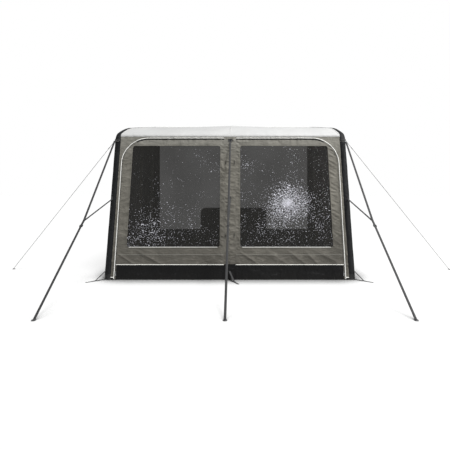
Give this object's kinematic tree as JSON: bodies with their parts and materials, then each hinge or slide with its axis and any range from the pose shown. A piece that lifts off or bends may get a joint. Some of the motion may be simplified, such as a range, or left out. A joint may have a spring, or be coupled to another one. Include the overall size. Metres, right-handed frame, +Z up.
{
  "type": "caravan awning",
  "caption": "Inflatable porch awning for a caravan: air beams, leaning front with zipped window panels, side doors, rear pads, storm straps and guy ropes.",
  "frame": {"origin": "middle of the canopy's plan at ground level, without its straps and ropes", "axes": "+X to the right seen from the front, +Y towards the caravan, +Z up"},
  "size_m": [6.474, 3.9868, 2.404],
  "materials": {
    "beam_skin": "matte",
    "black_cloth": "matte",
    "foam_pad": "matte",
    "grey_cloth": "matte",
    "moulded_plastic": "satin",
    "roof_cloth": "matte",
    "rope": "matte",
    "sleeve_cloth": "matte",
    "steel": "polished",
    "webbing": "matte",
    "white_bead": "matte",
    "window_film": "gloss",
    "zip_metal": "satin"
  },
  "bodies": {
    "canopy": {"beam_foot_centre": "moulded_plastic", "beam_foot_left": "moulded_plastic", "beam_foot_right": "moulded_plastic", "centre_beam": "beam_skin", "centre_strip": "grey_cloth", "corner_beam_left": "beam_skin", "corner_beam_right": "beam_skin", "corner_sleeve_left": "sleeve_cloth", "corner_sleeve_right": "sleeve_cloth", "draught_skirt": "black_cloth", "eave_anchor_centre": "webbing", "eave_anchor_left": "webbing", "eave_anchor_right": "webbing", "front_surround": "grey_cloth", "ground_strap_centre": "webbing", "ground_strap_left": "webbing", "ground_strap_right": "webbing", "guy_rope_left": "rope", "guy_rope_right": "rope", "keder_bead": "white_bead", "rear_pad_left": "foam_pad", "rear_pad_right": "foam_pad", "roof_panel": "roof_cloth", "side_black_panel_left": "black_cloth", "side_black_panel_right": "black_cloth", "side_wall_left": "grey_cloth", "side_wall_right": "grey_cloth", "storm_strap_centre": "webbing", "storm_strap_left": "webbing", "storm_strap_right": "webbing", "strap_branch_centre": "webbing", "strap_branch_left": "webbing", "strap_branch_right": "webbing", "valve_centre": "moulded_plastic", "valve_left": "moulded_plastic", "valve_right": "moulded_plastic", "wheel_arch_cover": "black_cloth"},
    "front_panel_left": {"front_panel_left": "grey_cloth", "front_window_left": "window_film", "front_skirt_left": "black_cloth"},
    "front_zip_pull_left": {"front_zip_pull_left": "zip_metal"},
    "side_door_left": {"side_door_left": "grey_cloth", "side_window_left": "window_film"},
    "guy_runner_left": {"guy_runner_left": "moulded_plastic"},
    "front_panel_right": {"front_panel_right": "grey_cloth", "front_window_right": "window_film", "front_skirt_right": "black_cloth"},
    "front_zip_pull_right": {"front_zip_pull_right": "zip_metal"},
    "side_door_right": {"side_door_right": "grey_cloth", "side_window_right": "window_film"},
    "guy_runner_right": {"guy_runner_right": "moulded_plastic"},
    "strap_buckle_left": {"strap_buckle_left": "moulded_plastic"},
    "peg_ring_left": {"peg_ring_left": "steel"},
    "valve_cap_left": {"valve_cap_left": "moulded_plastic"},
    "strap_buckle_centre": {"strap_buckle_centre": "moulded_plastic"},
    "peg_ring_centre": {"peg_ring_centre": "steel"},
    "valve_cap_centre": {"valve_cap_centre": "moulded_plastic"},
    "strap_buckle_right": {"strap_buckle_right": "moulded_plastic"},
    "peg_ring_right": {"peg_ring_right": "steel"},
    "valve_cap_right": {"valve_cap_right": "moulded_plastic"}
  },
  "joints": [
    {"name": "front_panel_left_swing", "type": "hinge", "parent": "canopy", "child": "front_panel_left", "pos_m": [-0.0754, -1.25, 0], "axis": [0, 0.1297, 0.9916], "range_deg": [0, 90]},
    {"name": "front_zip_pull_left_slide", "type": "slide", "parent": "front_panel_left", "child": "front_zip_pull_left", "axis": [0.0237, 0.1296, 0.9913], "range_m": [0, 1.38]},
    {"name": "side_door_left_swing", "type": "hinge", "parent": "canopy", "child": "side_door_left", "pos_m": [-1.62, -1.06321, 0], "axis": [0.0323, 0.1296, 0.991], "range_deg": [0, 70]},
    {"name": "guy_runner_left_slide", "type": "slide", "parent": "canopy", "child": "guy_runner_left", "axis": [-0.6505, 0.1294, -0.7484], "range_m": [0, 1.2]},
    {"name": "front_panel_right_swing", "type": "hinge", "parent": "canopy", "child": "front_panel_right", "pos_m": [0.0754, -1.25, 0], "axis": [0, -0.1297, -0.9916], "range_deg": [0, 90]},
    {"name": "front_zip_pull_right_slide", "type": "slide", "parent": "front_panel_right", "child": "front_zip_pull_right", "axis": [-0.0237, 0.1296, 0.9913], "range_m": [0, 1.38]},
    {"name": "side_door_right_swing", "type": "hinge", "parent": "canopy", "child": "side_door_right", "pos_m": [1.62, -1.06321, 0], "axis": [0.0323, -0.1296, -0.991], "range_deg": [0, 70]},
    {"name": "guy_runner_right_slide", "type": "slide", "parent": "canopy", "child": "guy_runner_right", "axis": [0.6505, 0.1294, -0.7484], "range_m": [0, 1.2]},
    {"name": "strap_buckle_left_slide", "type": "slide", "parent": "canopy", "child": "strap_buckle_left", "axis": [-0.0724, -0.7235, -0.6865], "range_m": [0, 0.6]},
    {"name": "peg_ring_left_hinge", "type": "hinge", "parent": "canopy", "child": "peg_ring_left", "pos_m": [-1.75066, -2.71, 0.005], "axis": [-1, 0, 0], "range_deg": [0, 100]},
    {"name": "valve_cap_left_hinge", "type": "hinge", "parent": "canopy", "child": "valve_cap_left", "pos_m": [-1.51049, -1.14223, 0.424], "axis": [0, -1, 0], "range_deg": [0, 120]},
    {"name": "strap_buckle_centre_slide", "type": "slide", "parent": "canopy", "child": "strap_buckle_centre", "axis": [0, -0.7254, -0.6883], "range_m": [0, 0.6]},
    {"name": "peg_ring_centre_hinge", "type": "hinge", "parent": "canopy", "child": "peg_ring_centre", "pos_m": [0, -2.71, 0.005], "axis": [-1, 0, 0], "range_deg": [0, 100]},
    {"name": "valve_cap_centre_hinge", "type": "hinge", "parent": "canopy", "child": "valve_cap_centre", "pos_m": [0, -1.06105, 0.41462], "axis": [1, 0, 0], "range_deg": [0, 120]},
    {"name": "strap_buckle_right_slide", "type": "slide", "parent": "canopy", "child": "strap_buckle_right", "axis": [0.0724, -0.7235, -0.6865], "range_m": [0, 0.6]},
    {"name": "peg_ring_right_hinge", "type": "hinge", "parent": "canopy", "child": "peg_ring_right", "pos_m": [1.75066, -2.71, 0.005], "axis": [-1, 0, 0], "range_deg": [0, 100]},
    {"name": "valve_cap_right_hinge", "type": "hinge", "parent": "canopy", "child": "valve_cap_right", "pos_m": [1.51049, -1.14223, 0.424], "axis": [0, 1, 0], "range_deg": [0, 120]}
  ]
}
